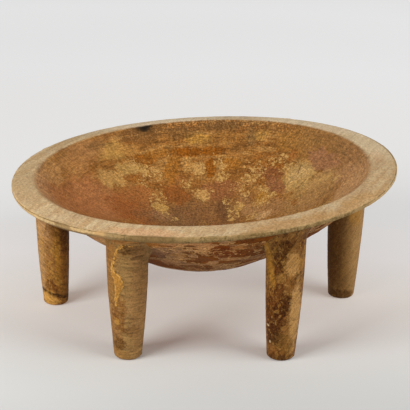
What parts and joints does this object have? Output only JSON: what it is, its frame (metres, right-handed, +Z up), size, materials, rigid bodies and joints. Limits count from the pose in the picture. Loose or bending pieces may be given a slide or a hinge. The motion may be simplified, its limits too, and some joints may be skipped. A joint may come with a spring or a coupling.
{
  "type": "kava bowl",
  "caption": "Low round hardwood bowl with a broad flat rim and a rounded belly, standing on straight round legs, for mixing and serving kava.",
  "frame": {"origin": "on the floor, under the middle of the rim", "axes": "+Z up; +X to the right and -Y towards the viewer in the picture"},
  "size_m": [0.4493, 0.45, 0.1835],
  "materials": {
    "bowl_wood": "worn, patinated hardwood with a raw pale rim",
    "leg_wood": "worn, darkened hardwood with rubbed feet"
  },
  "bodies": {
    "root": {"bowl": "bowl_wood", "leg_left": "leg_wood", "leg_front_left": "leg_wood", "leg_front_right": "leg_wood", "leg_right": "leg_wood", "leg_back_right": "leg_wood", "leg_back_left": "leg_wood"}
  },
  "joints": []
}
